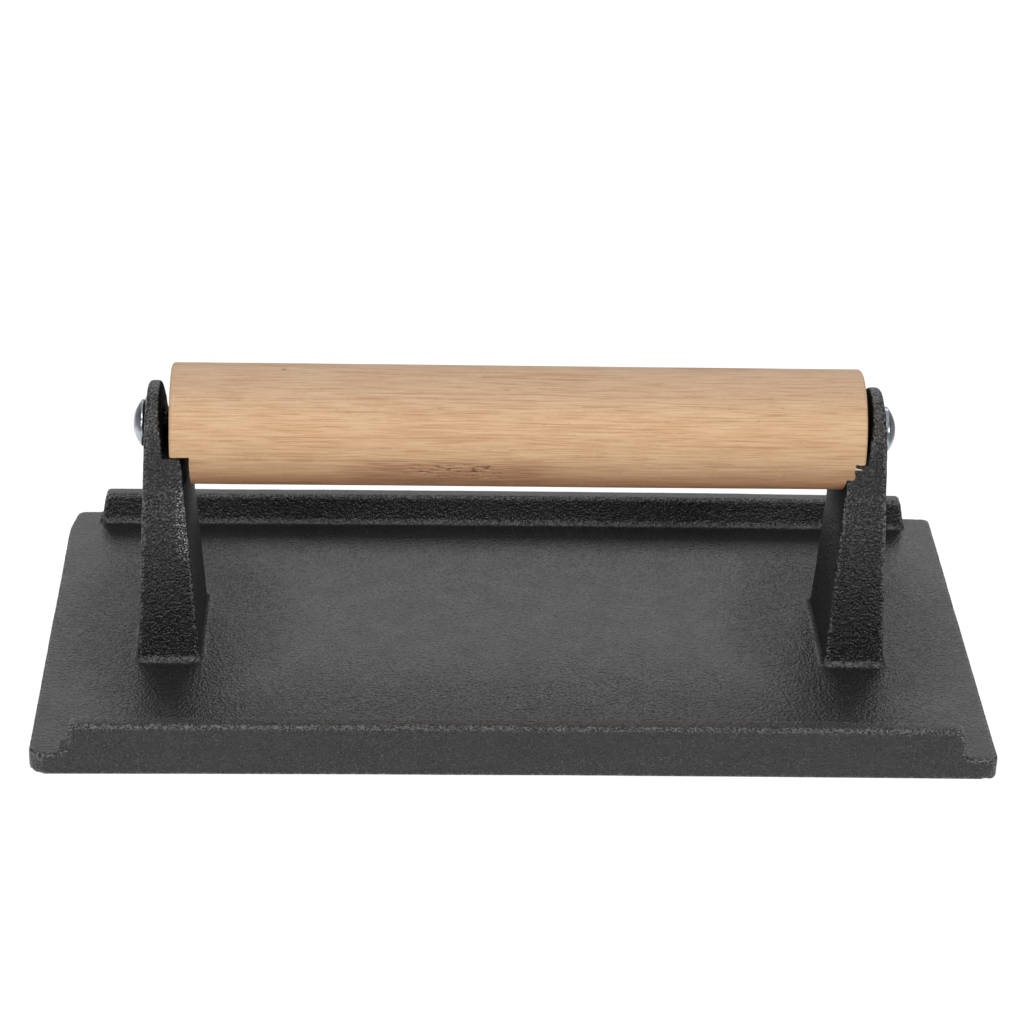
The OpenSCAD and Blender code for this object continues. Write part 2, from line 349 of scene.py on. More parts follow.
def zinc_material():
    """Bright zinc plate with a faint blue cast, scratches and dull spots; painted dark on the shank as
    shade in the joint.
    """
    material, tree = new_material("zinc_plate")
    place = position_mm(tree)
    stains = cloud(tree, place, 0.55, 3)
    scratches = cloud(tree, stretch(tree, place, 6.0, 0.9, 0.9), 1.0, 3, 0.6)
    colour = blend(tree, remap(tree, stains, 0.35, 0.7), ZINC_BRIGHT, ZINC_DULL)
    split = add(tree, "ShaderNodeSeparateXYZ", {0: place})
    # painted shade on the shank, where it lies in the dark joint between ear and handle
    joint_shade = remap(tree, calc(tree, "ABSOLUTE", split.outputs["X"]), head_seat - 0.5, head_seat - 1.5)
    colour = blend(tree, calc(tree, "MULTIPLY", joint_shade, 0.9), colour, ZINC_JOINT_SHADE)
    roughness = remap(tree, stains, 0.3, 0.7, 0.14, 0.26)
    roughness = calc(tree, "ADD", roughness, calc(tree, "MULTIPLY", scratches, 0.08))
    surface(tree, {
        "Base Color": colour,
        "Metallic": 1.0,
        "Roughness": roughness,
        "Normal": bump(tree, scratches, 0.02, 0.5),
    })
    return material


def brass_material():
    """Turned brass, slightly tarnished."""
    material, tree = new_material("turned_brass")
    place = position_mm(tree)
    tarnish = cloud(tree, place, 0.5, 3)
    tool_marks = cloud(tree, stretch(tree, place, 5.0, 0.4, 0.4), 1.0, 2)
    colour = blend(tree, remap(tree, tarnish, 0.35, 0.7), BRASS_BRIGHT, BRASS_DULL)
    surface(tree, {
        "Base Color": colour,
        "Metallic": 1.0,
        "Roughness": remap(tree, tarnish, 0.3, 0.7, 0.24, 0.42),
        "Normal": bump(tree, tool_marks, 0.03, 0.6),
    })
    return material


# ---------- mesh helpers ----------


def smoothstep(low, high, value):
    """0 at low, 1 at high, with a soft start and end; low may be the larger."""
    t = min(max((value - low) / (high - low), 0.0), 1.0)
    return t * t * (3 - 2 * t)


def window(value, limits, soft):
    """1 between the limits, falling to 0 over the soft distance inside each."""
    low, high = limits
    return smoothstep(low, low + soft, value) * smoothstep(high, high - soft, value)


def new_object(name, mesh):
    """Puts a mesh into the scene."""
    piece = bpy.data.objects.new(name, mesh)
    bpy.context.scene.collection.objects.link(piece)
    return piece


def apply_modifiers(piece):
    """Replaces the piece's mesh by what its modifiers make of it."""
    graph = bpy.context.evaluated_depsgraph_get()
    mesh = bpy.data.meshes.new_from_object(piece.evaluated_get(graph))
    piece.modifiers.clear()
    old = piece.data
    piece.data = mesh
    bpy.data.meshes.remove(old)


def get_points(mesh):
    """The mesh's vertices in millimetres, one row each."""
    flat = np.empty(3 * len(mesh.vertices))
    mesh.vertices.foreach_get("co", flat)
    return flat.reshape(-1, 3) / MM


def set_points(mesh, points):
    """Moves the mesh's vertices to these places in millimetres."""
    mesh.vertices.foreach_set("co", (points * MM).ravel())
    mesh.update()


def get_normals(mesh):
    """The direction the surface faces at each vertex."""
    flat = np.empty(3 * len(mesh.vertices))
    mesh.vertex_normals.foreach_get("vector", flat)
    return flat.reshape(-1, 3)


def get_edges(mesh):
    """The two vertex numbers of each edge."""
    flat = np.empty(2 * len(mesh.edges), dtype=np.int64)
    mesh.edges.foreach_get("vertices", flat)
    return flat.reshape(-1, 2)


def relax(points, edges, rounds, amount):
    """Moves each point towards the middle of its neighbours; amount is one number or one per point."""
    count = len(points)
    degree = np.bincount(edges.ravel(), minlength=count)[:, None]
    for _ in range(rounds):
        total = np.zeros_like(points)
        for axis in (X, Y, Z):
            total[:, axis] = np.bincount(edges[:, 0], points[edges[:, 1], axis], count)
            total[:, axis] += np.bincount(edges[:, 1], points[edges[:, 0], axis], count)
        points = points + amount * (total / degree - points)
    return points


def set_attribute(mesh, name, values):
    """Stores one number per vertex, for a material to read."""
    layer = mesh.attributes.new(name, "FLOAT", "POINT")
    layer.data.foreach_set("value", np.asarray(values, dtype=np.float32))


def set_smooth(mesh):
    """Shades every face smooth."""
    mesh.polygons.foreach_set("use_smooth", [True] * len(mesh.polygons))


def finish_piece(piece, node):
    """Ties a finished piece to the CAD's body and hides the CAD node it stands for."""
    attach(piece, "root")
    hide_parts(node)


# ---------- casting ----------

# size of the remeshed casting's cells, and how many triangles are kept
CAST_VOXEL = 0.45
CAST_TRIANGLES = 190_000
# where the middle of each post's foot is, to either side
post_x = (abs(notch_left) + abs(notch_right)) / 2 + 5
# how square each corner of the plate is, by side in X and Y: 2 is the CAD's round corner
CORNER_SQUARENESS = {(-1, -1): 1.4, (1, -1): 3.2, (1, 1): 4.0, (-1, 1): 3.5}
CORNER_RADIUS = 3.0
# how far the middle of the plate stands above its ends
PLATE_CAMBER = 0.35
# rounds and strength of the softening that every edge gets
SOFTEN = (2, 0.4)
# the ears' rims are rubbed rounder: more rounds and their strength, which grows over a run of height
EAR_ROUNDS = 11
EAR_SOFTENING = 0.5
EAR_SOFT_FROM = 56.0
EAR_SOFT_RUN = 5.0
# how far the ears' tops stand above the CAD's
EAR_RISE = 0.35
# rounds and strength of the smoothing that shows where the edges and the corners are
FIND_EDGES = (8, 0.6)
# how much of the skin's relief the flat underside lacks
UNDERSIDE_CALM = 0.85
# lean of the plate's two long sides
SIDE_LEAN = math.tan(math.radians(2.6))


def shape_corner(point):
    """Makes the plate's four corners differ a little, as poured ones do."""
    side = (1 if point[X] > 0 else -1, 1 if point[Y] > 0 else -1)
    u = abs(point[X]) - (half_length - CORNER_RADIUS)
    v = abs(point[Y]) - (half_width - CORNER_RADIUS)
    if u > 0 and v > 0:
        reach = math.hypot(u, v)
        power = CORNER_SQUARENESS[side]
        scale = 1 / ((u / reach) ** power + (v / reach) ** power) ** (1 / power)
        point[X] = side[0] * (half_length - CORNER_RADIUS + u * scale)
        point[Y] = side[1] * (half_width - CORNER_RADIUS + v * scale)


def shape_casting(point):
    """Moves a point of the CAD shape to where the real, slightly uneven casting has it."""
    shape_corner(point)
    # the plate's back left corner is drawn in
    back_left = smoothstep(44, half_width, point[Y]) * smoothstep(92, half_length, -point[X])
    point[X] += 1.2 * back_left
    # the posts' feet and the right ear stand a little to the right
    climb = smoothstep(plate_top, notch_roof, point[Z])
    left_post = window(point[X], (-79, -62), 5)
    right_post = smoothstep(62, 67, point[X]) * smoothstep(92, 88, point[X])
    post_feet = 0.45 * left_post + 0.50 * right_post
    right_ear = smoothstep(74, 80, point[X])
    point[X] += post_feet * (1 - climb) + 0.25 * right_ear * climb
    # the front ridge starts late on the left, and both ridges end further out on the right
    above = point[Z] - plate_top
    front_left = smoothstep(0.2, 1.4, above) * smoothstep(-90, -94, point[X])
    front_left *= smoothstep(-44, -48, point[Y])
    right_ridge = smoothstep(0, 2, above) * smoothstep(88, 96, point[X])
    point[X] += front_left * (1.35 - 0.13 * above) + 0.25 * right_ridge
    # the long sides lean in, the ears' tops are a little high and the plate is cambered
    near_side = smoothstep(half_width - 7, half_width - 3, abs(point[Y]))
    point[Y] -= math.copysign(SIDE_LEAN * point[Z] * near_side, point[Y])
    point[Z] += EAR_RISE * smoothstep(ear_top - 4, ear_top, point[Z])
    point[Z] += PLATE_CAMBER * (1 - (point[X] / half_length) ** 2)


def grain_strength(point, normal):
    """How coarse the skin is: most on the posts, less on ridges, ears and plate, least underneath."""
    if normal[Z] < -0.5:
        return 0.1
    upright = smoothstep(0.35, 0.8, math.hypot(normal[X], normal[Y]))
    near_post = smoothstep(34, 12, math.hypot(abs(point[X]) - post_x, 0.7 * point[Y]))
    near_front = smoothstep(-5, -45, point[Y]) * smoothstep(half_length, 75, abs(point[X]))
    on_top = 0.34 + 0.66 * max(near_post, 0.8 * near_front)
    on_front_ridge = smoothstep(-40, -46, point[Y])
    on_ear = smoothstep(notch_roof - 14, notch_roof - 4, point[Z])
    on_side = 1.0 - 0.12 * on_front_ridge - 0.25 * on_ear
    return upright * on_side + (1 - upright) * on_top


def painted_shade_amount(point, normal):
    """Painted shade: dark and dull where the iron looks at the handle.

    That is on the posts' inner faces, in the band just under the bar, and on the ledges, which end at the
    ears about 78 from the middle.
    """
    out = abs(point[X])
    inward = -math.copysign(1, point[X]) * normal[X]
    high_up = smoothstep(plate_top + 24, notch_roof - 9, point[Z])
    inner_face = smoothstep(0.3, 0.7, inward) * (0.35 + 0.65 * high_up)
    ledge = smoothstep(notch_roof - 4, notch_roof - 2, point[Z]) * smoothstep(78.2, 77.2, out)
    at_front = smoothstep(-0.5, -0.8, normal[Y])
    under_bar = smoothstep(notch_roof - 1.6, notch_roof - 1.0, point[Z]) * smoothstep(78.4, 77.6, out)
    return max(max(inner_face, ledge) * (1 - at_front), under_bar) * smoothstep(64, 68, out)


def painted_sparkle_amount(point, normal):
    """Painted glints: bright specks on the left post's front, beside its inner edge and below the ledge.
    """
    beside_edge = window(point[X], (-75.4, -71.2), 1.2)
    below_ledge = window(point[Z], (28, 50), 6)
    return beside_edge * below_ledge * smoothstep(-0.4, -0.8, normal[Y])


def cast_relief(place, strength):
    """Height of the skin above the smooth shape."""
    waves = 0.08 * noise.noise(place / 27)
    lumps = 0.04 * noise.noise(place / 6 + Vector((9, 0, 0)))
    pebbles = 0.045 * strength * noise.noise(place / 1.2)
    return waves + lumps + pebbles


def dent_list():
    """Small nicks along the plate's lower edges: centre, radius and depth."""
    dice = random.Random(RANDOM_SEED)
    dents = []
    # three deep nicks below the left post, then small ones anywhere
    for x in (-83.5, -80.5, -75.5):
        dents.append(((x, -half_width, 1.2), 1.0, 0.25))
    for _ in range(26):
        side = dice.choice((-1, 1))
        if dice.random() < 0.6:
            centre = (dice.uniform(-0.9, 0.9) * half_length, side * half_width, dice.uniform(1.0, 2.0))
        else:
            centre = (side * half_length, dice.uniform(-0.9, 0.9) * half_width, dice.uniform(0.5, 4.5))
        dents.append((centre, dice.uniform(0.6, 1.2), dice.uniform(0.08, 0.2)))
    return dents


def press_dents(points, normals):
    """Pushes the points in at each nick."""
    for centre, radius, depth in dent_list():
        distance = np.linalg.norm(points - np.array(centre), axis=1)
        near = distance < radius
        fall = 1 - (distance[near] / radius) ** 2
        points[near] -= normals[near] * (depth * fall ** 2)[:, None]


def remeshed_casting():
    """A copy of the CAD casting with small even faces, which the skin can be worked into."""
    source = bmesh.new()
    source.from_mesh(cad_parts["press_casting"].data)
    bmesh.ops.remove_doubles(source, verts=source.verts, dist=0.001 * MM)
    mesh = bpy.data.meshes.new("iron_casting")
    source.to_mesh(mesh)
    source.free()
    piece = new_object("iron_casting", mesh)
    remesh = piece.modifiers.new("remesh", "REMESH")
    remesh.mode = "VOXEL"
    remesh.voxel_size = CAST_VOXEL * MM
    apply_modifiers(piece)
    return piece


def build_casting():
    """The iron casting: the CAD shape remeshed, with softened edges and a sand-cast skin."""
    piece = remeshed_casting()
    mesh = piece.data
    edges = get_edges(mesh)
    points = relax(get_points(mesh), edges, *SOFTEN)
    on_ear = np.clip((points[:, Z] - EAR_SOFT_FROM) / EAR_SOFT_RUN, 0, 1)
    points = relax(points, edges, EAR_ROUNDS, EAR_SOFTENING * on_ear[:, None])
    for point in points:
        shape_casting(point)
    set_points(mesh, points)
    normals = get_normals(mesh)
    softer = relax(points, edges, *FIND_EDGES)
    edge = ((points - softer) * normals).sum(axis=1)
    # mask of the painted shade under and beside the handle
    painted_shade = [painted_shade_amount(p, n) for p, n in zip(points, normals)]
    # mask of the painted glints on the left post
    painted_sparkle = [painted_sparkle_amount(p, n) for p, n in zip(points, normals)]

    strengths = np.array([grain_strength(p, n) for p, n in zip(points, normals)])
    heights = np.array([cast_relief(Vector(p), s) for p, s in zip(points, strengths)])
    underside = np.clip(-normals[:, Z], 0, 1) * (points[:, Z] < 2)
    heights *= 1 - UNDERSIDE_CALM * underside
    points = points + normals * heights[:, None]
    press_dents(points, normals)
    points[:, Z] = np.maximum(points[:, Z], 0)
    set_points(mesh, points)
    set_attribute(mesh, "grain", strengths)
    set_attribute(mesh, "edge", edge)
    set_attribute(mesh, "painted_shade", painted_shade)
    set_attribute(mesh, "painted_sparkle", painted_sparkle)

    thin = piece.modifiers.new("thin", "DECIMATE")
    thin.use_collapse_triangulate = True
    thin.ratio = CAST_TRIANGLES / (2 * len(mesh.polygons))
    apply_modifiers(piece)
    set_smooth(piece.data)
    piece.data.materials.clear()
    piece.data.materials.append(iron_material())
    finish_piece(piece, "press_casting")


# ---------- turned shapes ----------


def join_rings(build, first, second, material_index=0):
    """Faces between two rings of vertices; a ring of one vertex closes the shape to a point."""
    count = max(len(first), len(second))
    for i in range(count):
        j = (i + 1) % count
        corners = [
            first[i % len(first)],
            first[j % len(first)],
            second[j % len(second)],
            second[i % len(second)],
        ]
        face = build.faces.new(list(dict.fromkeys(corners)))
        face.material_index = material_index


def lathe(name, profile, segments, radius_at):
    """A closed solid turned about the handle's axis from (x, radius) points that start and end on it.

    radius_at(x, radius, angle) gives the true radius in each direction round the axis.
    """
    build = bmesh.new()
    rings = []
    for x, radius in profile:
        if radius == 0:
            rings.append([build.verts.new((x * MM, 0, axis_z * MM))])
            continue
        ring = []
        for i in range(segments):
            angle = 2 * math.pi * i / segments
            r = radius_at(x, radius, angle)
            y = -r * math.cos(angle)
            z = axis_z + r * math.sin(angle)
            ring.append(build.verts.new((x * MM, y * MM, z * MM)))
        rings.append(ring)
    for first, second in zip(rings, rings[1:]):
        join_rings(build, first, second)
    bmesh.ops.recalc_face_normals(build, faces=build.faces)
    mesh = bpy.data.meshes.new(name)
    build.to_mesh(mesh)
    build.free()
    return new_object(name, mesh)


def cut(piece, *cutters):
    """Takes the cutters away from the piece; a cut face keeps the cutter's material index."""
    for cutter in cutters:
        step = piece.modifiers.new("cut", "BOOLEAN")
        step.operation = "DIFFERENCE"
        step.solver = "MANIFOLD"
        step.object = cutter
        apply_modifiers(piece)
        bpy.data.objects.remove(cutter)
        if not piece.data.polygons:
            raise RuntimeError(f"nothing is left of {piece.name} after a cut")


# ---------- handle ----------

HANDLE_SEGMENTS = 288
# rounding of the bar's end edges, and how much deeper than its insert each bore is
END_ROUND = 0.7
BORE_SPARE = 1.0
# places on the bar: x, then the angle above the horizontal on the front side, in degrees
TEAR_X = (-26.0, 0.0)
TEAR_ANGLE = (-36.0, -9.0)
PIT = (-51.3, 91.0)
# darker wood around the tear
BRUISE_X = (-42.0, 14.0)
BRUISE_ANGLE = (-52.0, -2.0)


def along(start, stop, step):
    """Evenly spaced places from start up to, but not including, stop."""
    count = max(1, round(abs(stop - start) / step))
    return [start + (stop - start) * i / count for i in range(count)]


def end_rounding(end_x, inward):
    """Quarter circle from the end face out to the barrel; inward is the way along X into the bar."""
    points = []
    for i in range(7):
        angle = math.pi / 2 * i / 6
        x = end_x + inward * END_ROUND * (1 - math.cos(angle))
        points.append((x, handle_radius - END_ROUND * (1 - math.sin(angle))))
    return points


def handle_profile():
    """Outline from the bottom of the left bore, round the outside, to the bottom of the right bore."""
    bore_left = left_insert_end + BORE_SPARE
    bore_right = right_insert_end - BORE_SPARE
    face = along(insert_radius, handle_radius - END_ROUND, 1.0)
    barrel = []
    # finer steps at the pit and the tear
    stops = (handle_left + END_ROUND, PIT[0] - 2, PIT[0] + 2, *TEAR_X, handle_right - END_ROUND)
    for start, stop, step in zip(stops, stops[1:], (1.0, 0.3, 1.0, 0.35, 1.0)):
        barrel += [(x, handle_radius) for x in along(start, stop, step)][1:]
    outline = [(bore_left, 0)]
    outline += [(x, insert_radius) for x in along(bore_left, handle_left, 2.0)]
    outline += [(handle_left, r) for r in face]
    outline += end_rounding(handle_left, 1) + barrel + end_rounding(handle_right, -1)[::-1]
    outline += [(handle_right, r) for r in face[::-1]]
    outline += [(x, insert_radius) for x in along(handle_right, bore_right, 2.0)[1:]]
    outline += [(bore_right, insert_radius), (bore_right, 0)]
    return outline


def torn_amount(x, degrees):
    """How deeply the bar's surface is torn: 0 sound, 1 deepest."""
    arc = math.radians(degrees) * handle_radius
    pit = math.exp(-((x - PIT[0]) / 0.40) ** 2 - ((degrees - PIT[1]) / 1.4) ** 2)
    area = window(x, TEAR_X, 6) * window(degrees, TEAR_ANGLE, 9)
    if area == 0:
        return pit
    ragged = noise.noise((x / 2.6, arc / 0.55, 3)) + 0.5 * noise.noise((x / 0.9, arc / 0.3, 8))
    return max(pit, area * smoothstep(0.05, 0.6, ragged))


def bar_radius(x, radius, angle):
    """Radius of the turned bar: slightly out of round, with raised grain and the torn places."""
    if radius < handle_radius - END_ROUND:
        return radius
    degrees = math.degrees(angle)
    degrees -= 360 if degrees > 180 else 0
    across = Vector((0, math.cos(angle), math.sin(angle))) * radius
    fibres = noise.noise(Vector((x / 14, across.y * 1.1, across.z * 1.1)))
    turning = noise.noise(Vector((x / 45, across.y / 12, across.z / 12)))
    return radius + 0.018 * fibres + 0.07 * turning - 0.05 - 0.45 * torn_amount(x, degrees)


def rough_block(name, low, high, step, roughness, teeth=0.0):
    """A box to cut wood with, its faces divided and displaced; teeth break its ends into steps."""
    build = bmesh.new()
    bmesh.ops.create_cube(build, size=1)
    size = Vector(high) - Vector(low)
    middle = (Vector(high) + Vector(low)) / 2
    for vert in build.verts:
        vert.co = Vector(a * b for a, b in zip(vert.co, size)) + middle
    for axis in (X, Y, Z):
        direction = Vector((0, 0, 0))
        direction[axis] = 1
        for place in along(low[axis], high[axis], step)[1:]:
            level = Vector(middle)
            level[axis] = place
            everything = build.verts[:] + build.edges[:] + build.faces[:]
            bmesh.ops.bisect_plane(build, geom=everything, plane_co=level, plane_no=direction)
    for vert in build.verts:
        push = noise.noise_vector(Vector((vert.co.x / 2.2, vert.co.y / 1.6, vert.co.z / 0.8)))
        push.x += teeth / roughness * (2 * noise.cell(Vector((0, vert.co.y / 3, vert.co.z / 0.6))) - 1)
        vert.co = (vert.co + roughness * push) * MM
    for face in build.faces:
        face.material_index = 1
    mesh = bpy.data.meshes.new(name)
    build.to_mesh(mesh)
    build.free()
    return new_object(name, mesh)


def add_sliver(build, start, middle, end, thickness):
    """A thin curved splinter that tapers to a point at both ends."""
    start, middle, end = Vector(start), Vector(middle), Vector(end)
    sides = 6
    stations = 9
    rings = []
    for i in range(stations):
        t = i / (stations - 1)
        centre = start * (1 - t) ** 2 + middle * 2 * t * (1 - t) + end * t ** 2
        forward = ((middle - start) * (1 - t) + (end - middle) * t).normalized()
        side = forward.orthogonal().normalized()
        other = forward.cross(side)
        radius = thickness / 2 * math.sin(math.pi * t) ** 0.6 if 0 < t < 1 else 0
        if radius == 0:
            rings.append([build.verts.new(centre * MM)])
            continue
        ring = []
        for k in range(sides):
            angle = 2 * math.pi * k / sides
            outward = side * math.cos(angle) + other * 0.5 * math.sin(angle)
            ring.append(build.verts.new((centre + radius * outward) * MM))
        rings.append(ring)
    for first, second in zip(rings, rings[1:]):
        join_rings(build, first, second, 1)


def on_bar(x, degrees, radius):
    """A place at this radius from the bar's axis, at an angle above the horizontal on the front side."""
    angle = math.radians(degrees)
    return (x, -radius * math.cos(angle), axis_z + radius * math.sin(angle))


# how far the blocks that cut the notches reach past the bar's ends, and how far they overlap each other
PAST_END = 3.0
BLOCK_OVERLAP = 0.4
# the left notch is cut this much higher than the right one
LEFT_ROOF_RAISE = 0.35
# front wall of the right notch: it broke off in two steps, each with its depth in Y and its end in X
SLAB_BACK = -11.7
SLAB_END = 74.9
LIP_BACK = -6.0
LIP_END = 73.3


def build_handle():
    """The beech bar: turned, notched at both ends, torn at the right notch and low on the front."""
    piece = lathe("beech_handle", handle_profile(), HANDLE_SEGMENTS, bar_radius)
    fresh = beech_material("beech_fresh", fresh=True)
    sound = beech_material("beech", fresh=False)
    for material in (sound, fresh):
        piece.data.materials.append(material)

    left = handle_left - PAST_END
    right = handle_right + PAST_END
    front = -2 * handle_radius
    back = 2 * handle_radius
    floor = handle_bottom - 1
    roof = notch_roof
    left_roof = notch_roof + LEFT_ROOF_RAISE
    lip_back = LIP_BACK + BLOCK_OVERLAP
    slab_back = SLAB_BACK + BLOCK_OVERLAP
    blocks = [
        rough_block("left_notch", (left, front, floor), (notch_left, back, left_roof), 0.8, 0.12),
        rough_block("right_notch", (notch_right, LIP_BACK, floor), (right, back, roof), 0.8, 0.12),
        rough_block("right_lip", (LIP_END, SLAB_BACK, floor), (right, lip_back, roof), 0.4, 0.15),
        rough_block("right_tear", (SLAB_END, front, floor), (right, slab_back, roof), 0.3, 0.3, 0.2),
    ]
    for block in blocks:
        for material in (sound, fresh):
            block.data.materials.append(material)
    cut(piece, *blocks)

    # one splinter across the tear and one at the broken notch
    build = bmesh.new()
    build.from_mesh(piece.data)
    add_sliver(build, on_bar(-8.1, -13, 13.2), on_bar(-8.0, -21, 14.2), on_bar(-9.5, -31, 13.5), 0.22)
    add_sliver(build, on_bar(74.0, -11.5, 13.1), on_bar(75.1, -14, 13.6), on_bar(76.4, -14.5, 13.2), 0.45)
    build.to_mesh(piece.data)
    build.free()

    points = get_points(piece.data)
    angles = np.degrees(np.arctan2(points[:, Z] - axis_z, -points[:, Y]))
    on_skin = np.hypot(points[:, Y], points[:, Z] - axis_z) > insert_radius + 1
    places = list(zip(points[:, X], angles))
    torn = [torn_amount(x, angle) * skin for (x, angle), skin in zip(places, on_skin)]
    bruised = [window(x, BRUISE_X, 12) * window(angle, BRUISE_ANGLE, 14) for x, angle in places]
    set_attribute(piece.data, "torn", torn)
    set_attribute(piece.data, "bruised", bruised)
    set_smooth(piece.data)
    piece.data.set_sharp_from_angle(angle=math.radians(40))
    finish_piece(piece, "handle")


# ---------- screws ----------

SCREW_SEGMENTS = 48
# M5 thread
THREAD_PITCH = 0.8
THREAD_DEPTH = 0.4
# thickness of each head's rim; the right screw's head stands out further
LEFT_RIM = 0.45
RIGHT_RIM = 0.80
# the driver recess: its depth, and the width and length of a wing at the mouth of the cutter
RECESS_DEPTH = 1.7
RECESS_WIDTH = 1.1
RECESS_LENGTH = 5.0
# how far the cutter stands proud of the head, and how wide its floor is for a mouth of 1
RECESS_ABOVE = 1.0
RECESS_TAPER = 0.82


def screw_profile(rim):
    """Outline of the +X screw from its tip to the top of its domed head, whose rim is rim thick."""
    dome = screw_apex - head_seat - LEFT_RIM
    apex = head_seat + rim + dome
    sphere = (head_radius ** 2 + dome ** 2) / (2 * dome)
    full_angle = math.asin(head_radius / sphere)
    # the tip, the shank, the head's underside with its small edge rounding, the rim and the dome
    outline = [(screw_tip, 0), (screw_tip, shank_radius - 0.6)]
    outline += [(x, shank_radius) for x in along(screw_tip + 0.5, head_seat, THREAD_PITCH / 6)]
    outline += [(head_seat, shank_radius), (head_seat, head_radius - 0.1), (head_seat + 0.1, head_radius)]
    outline += [(head_seat + rim - 0.08, head_radius)]
    for i in range(14):
        angle = full_angle * (0.985 - 0.985 * i / 14)
        outline.append((apex - sphere * (1 - math.cos(angle)), sphere * math.sin(angle)))
    outline.append((apex, 0))
    return outline


def thread_radius(x, radius, angle):
    """Cuts a rolled thread into the shank."""
    if radius != shank_radius or x > head_seat - 0.4:
        return radius
    phase = (x / THREAD_PITCH - angle / (2 * math.pi)) % 1
    return radius - THREAD_DEPTH * (1 - abs(2 * phase - 1))


def recess_wing(turn):
    """One of the two crossed wedges that cut the driver recess."""
    build = bmesh.new()
    floor_x = screw_apex - RECESS_DEPTH
    mouth_x = screw_apex + RECESS_ABOVE
    floor_level = (floor_x, RECESS_WIDTH / 2, RECESS_TAPER * RECESS_WIDTH / 2)
    mouth_level = (mouth_x, RECESS_LENGTH / 2, RECESS_WIDTH / 2)
    corners = []
    for x, half, taper in (floor_level, mouth_level):
        for along_wing, across_wing in ((-half, -taper), (half, -taper), (half, taper), (-half, taper)):
            y = along_wing * math.cos(turn) - across_wing * math.sin(turn)
            z = along_wing * math.sin(turn) + across_wing * math.cos(turn)
            corners.append(build.verts.new((x * MM, y * MM, (axis_z + z) * MM)))
    bottom, top = corners[:4], corners[4:]
    build.faces.new(bottom)
    build.faces.new(top)
    for i in range(4):
        j = (i + 1) % 4
        build.faces.new((bottom[i], bottom[j], top[j], top[i]))
    bmesh.ops.recalc_face_normals(build, faces=build.faces)
    mesh = bpy.data.meshes.new("recess_wing")
    build.to_mesh(mesh)
    build.free()
    return new_object("recess_wing", mesh)


def build_screw(name, side, rim, turn, material, node):
    """A screw on the +X side (side 1), or mirrored to -X (side -1), with its recess turned by turn."""
    piece = lathe(name, screw_profile(rim), SCREW_SEGMENTS, thread_radius)
    cut(piece, recess_wing(turn), recess_wing(turn + math.pi / 2))
    if side < 0:
        piece.data.transform(Matrix.Rotation(math.pi, 4, "Z"))
    piece.data.materials.clear()
    piece.data.materials.append(material)
    set_smooth(piece.data)
    piece.data.set_sharp_from_angle(angle=math.radians(35))
    finish_piece(piece, node)


# ---------- studio ----------


def camera_or_light(tree, seen, shed):
    """A grey level for what the camera sees, and another for the light that the same surface sheds."""
    is_camera = add(tree, "ShaderNodeLightPath").outputs["Is Camera Ray"]
    return blend(tree, is_camera, shed, seen)


# grey levels of the light that the floor and the room shed on the press
FLOOR_LIGHT = 0.86
FAR_FLOOR_LIGHT = 0.12
BACK_LIGHT = 0.57
FRONT_LIGHT = 0.16
SIDE_LIGHT = 0.12
# what the camera sees of the floor, and how much light the floor reflects
FLOOR_SEEN = 0.92
FLOOR_MATTE = 0.20
# the floor's light dies away between these distances in metres, and so much sooner to the sides
LIT_FLOOR = (0.26, 0.42)
LIT_FLOOR_CENTRE = (-0.03, 0, 0)
SIDE_HASTE = 1.9
# the room's light changes between these directions: parts of a unit vector to the side and to the back
SIDE_FADE = (0.45, 0.9)
FRONT_FADE = (-0.15, -0.60)


def build_floor():
    """A pale floor, much larger than the press."""
    build = bmesh.new()
    bmesh.ops.create_grid(build, x_segments=4, y_segments=4, size=2.0)
    mesh = bpy.data.meshes.new("floor")
    build.to_mesh(mesh)
    build.free()
    floor = new_object("floor", mesh)
    material, tree = new_material("pale_floor")
    place = add(tree, "ShaderNodeTexCoord").outputs["Object"]
    offset = {0: place, 1: LIT_FLOOR_CENTRE}
    off_centre = add(tree, "ShaderNodeVectorMath", offset, operation="SUBTRACT").outputs[0]
    away = stretch(tree, off_centre, SIDE_HASTE, 1, 1)
    distance = add(tree, "ShaderNodeVectorMath", {0: away}, operation="LENGTH").outputs["Value"]
    shed = blend(tree, remap(tree, distance, *LIT_FLOOR), grey(FLOOR_LIGHT), grey(FAR_FLOOR_LIGHT))
    glow = add(tree, "ShaderNodeEmission", {"Color": camera_or_light(tree, grey(FLOOR_SEEN), shed)})
    matte = add(tree, "ShaderNodeBsdfDiffuse", {"Color": grey(FLOOR_MATTE)})
    both = add(tree, "ShaderNodeAddShader", {0: glow.outputs[0], 1: matte.outputs[0]})
    add(tree, "ShaderNodeOutputMaterial", {"Surface": both.outputs[0]})
    mesh.materials.append(material)


def build_world():
    """White to the camera; as a light, a grey room that is brightest at the back."""
    world = bpy.data.worlds.new("studio")
    world.use_nodes = True
    bpy.context.scene.world = world
    tree = world.node_tree
    tree.nodes.clear()
    direction = add(tree, "ShaderNodeTexCoord").outputs["Generated"]
    split = add(tree, "ShaderNodeSeparateXYZ", {0: direction})
    sideways = remap(tree, calc(tree, "ABSOLUTE", split.outputs["X"]), *SIDE_FADE)
    frontward = remap(tree, split.outputs["Y"], *FRONT_FADE)
    room = blend(tree, frontward, grey(BACK_LIGHT), grey(FRONT_LIGHT))
    room = blend(tree, sideways, room, grey(SIDE_LIGHT))
    background = add(tree, "ShaderNodeBackground", {"Color": camera_or_light(tree, grey(1.0), room)})
    add(tree, "ShaderNodeOutputWorld", {"Surface": background.outputs[0]})


# the lights are aimed at the middle of the press, in metres
SOFTBOX_AIM = Vector((0, 0, 0.03))


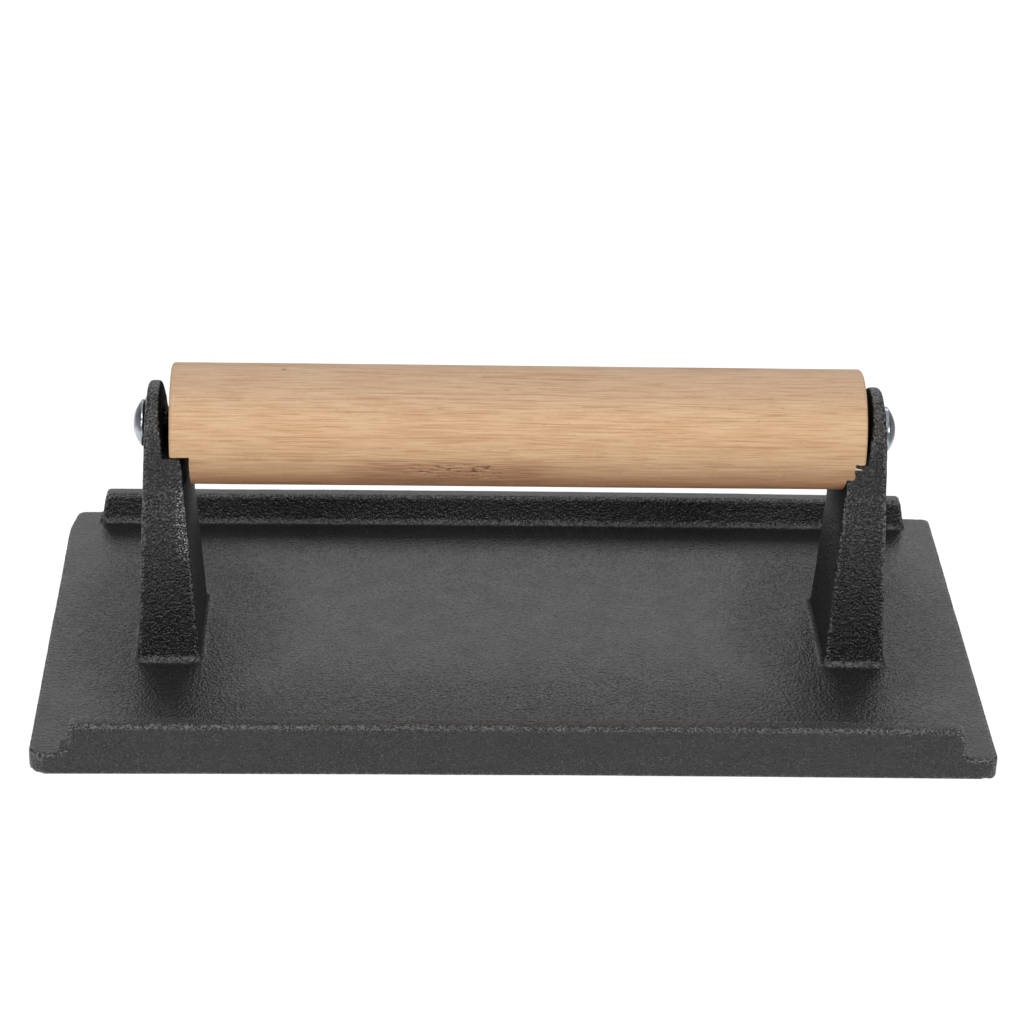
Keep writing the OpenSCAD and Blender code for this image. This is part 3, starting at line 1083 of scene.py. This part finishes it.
def add_softbox(name, place, width, height, power):
    """A rectangular area light, in metres and watts, aimed at the press."""
    light = bpy.data.lights.new(name, "AREA")
    light.shape = "RECTANGLE"
    light.size = width
    light.size_y = height
    light.energy = power
    lamp = bpy.data.objects.new(name, light)
    bpy.context.scene.collection.objects.link(lamp)
    lamp.location = place
    lamp.rotation_euler = (SOFTBOX_AIM - Vector(place)).to_track_quat("-Z", "Y").to_euler()


# the camera's place, its turns in degrees, and its lens and sensor
CAMERA_PLACE = (-27.3, -623.8, 383.2)
CAMERA_YAW = 2.494
CAMERA_PITCH = 29.11
CAMERA_ROLL = 1.724
CAMERA_LENS = 111.2
CAMERA_SENSOR = 36.0


def build_camera():
    """The camera, where the press is seen from the front and above."""
    data = bpy.data.cameras.new("camera")
    data.sensor_width = CAMERA_SENSOR
    data.lens = CAMERA_LENS
    data.clip_start = 0.01
    camera = bpy.data.objects.new("camera", data)
    turn = Matrix.Rotation(math.radians(-CAMERA_YAW), 4, "Z")
    tilt = Matrix.Rotation(math.radians(90 - CAMERA_PITCH), 4, "X")
    roll = Matrix.Rotation(math.radians(CAMERA_ROLL), 4, "Z")
    camera.matrix_world = Matrix.Translation(Vector(CAMERA_PLACE) * MM) @ turn @ tilt @ roll
    bpy.context.scene.collection.objects.link(camera)
    bpy.context.scene.camera = camera


# ---------- the scene ----------

build_casting()
build_handle()
zinc = zinc_material()
build_screw("left_domed_screw", -1, LEFT_RIM, 0.4, zinc, "left_screw")
build_screw("right_domed_screw", 1, RIGHT_RIM, 1.1, zinc, "right_screw")
brass = brass_material()
for insert in ("left_insert", "right_insert"):
    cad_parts[insert].material_slots[0].material = brass

build_floor()
build_world()
# each light's place, width, height and power
add_softbox("overhead", (-0.15, -0.60, 1.05), 0.9, 0.35, 4.8)
add_softbox("front_right", (0.85, -0.95, 0.55), 0.35, 0.35, 3.8)
add_softbox("front_left", (-0.75, -1.10, 0.50), 0.5, 0.5, 2.8)
add_softbox("front", (-0.10, -1.25, 0.80), 0.30, 0.20, 3.0)
add_softbox("back", (0.1, 1.3, 0.75), 1.6, 0.5, 2.9)
build_camera()
bpy.context.scene.view_settings.view_transform = "Standard"
